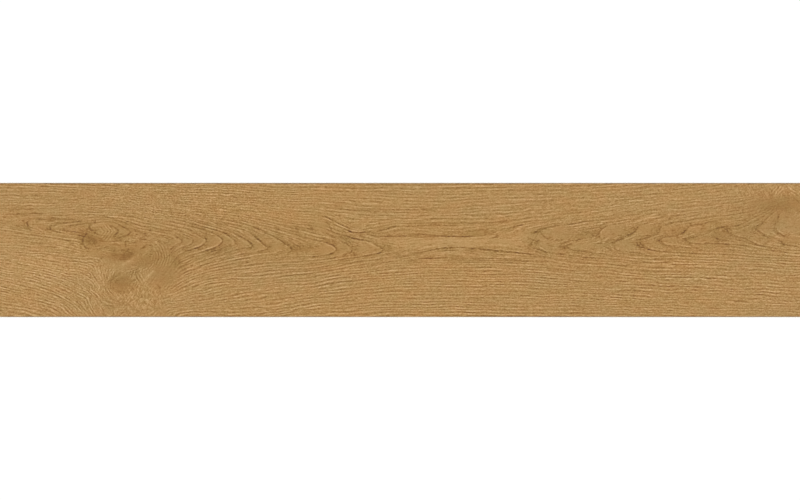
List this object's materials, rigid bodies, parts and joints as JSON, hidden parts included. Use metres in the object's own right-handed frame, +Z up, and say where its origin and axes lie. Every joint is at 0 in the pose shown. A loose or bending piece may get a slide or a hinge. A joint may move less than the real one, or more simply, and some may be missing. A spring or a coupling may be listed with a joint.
{
  "type": "wood look porcelain plank tile",
  "caption": "Long flat rectangular floor tile, a fired slab with ground square edges, a micro bevel round the wood-grain face and shallow keying grooves on the back.",
  "frame": {"origin": "centre of the back face, so the tile lies on z = 0 with its decorated face up", "axes": "+X along the plank's length, +Y across its width, +Z up, out of the decorated face"},
  "size_m": [1.2, 0.2, 0.009],
  "materials": {
    "porcelain": "matte"
  },
  "bodies": {
    "root": {"plank_tile": "porcelain"}
  },
  "joints": []
}
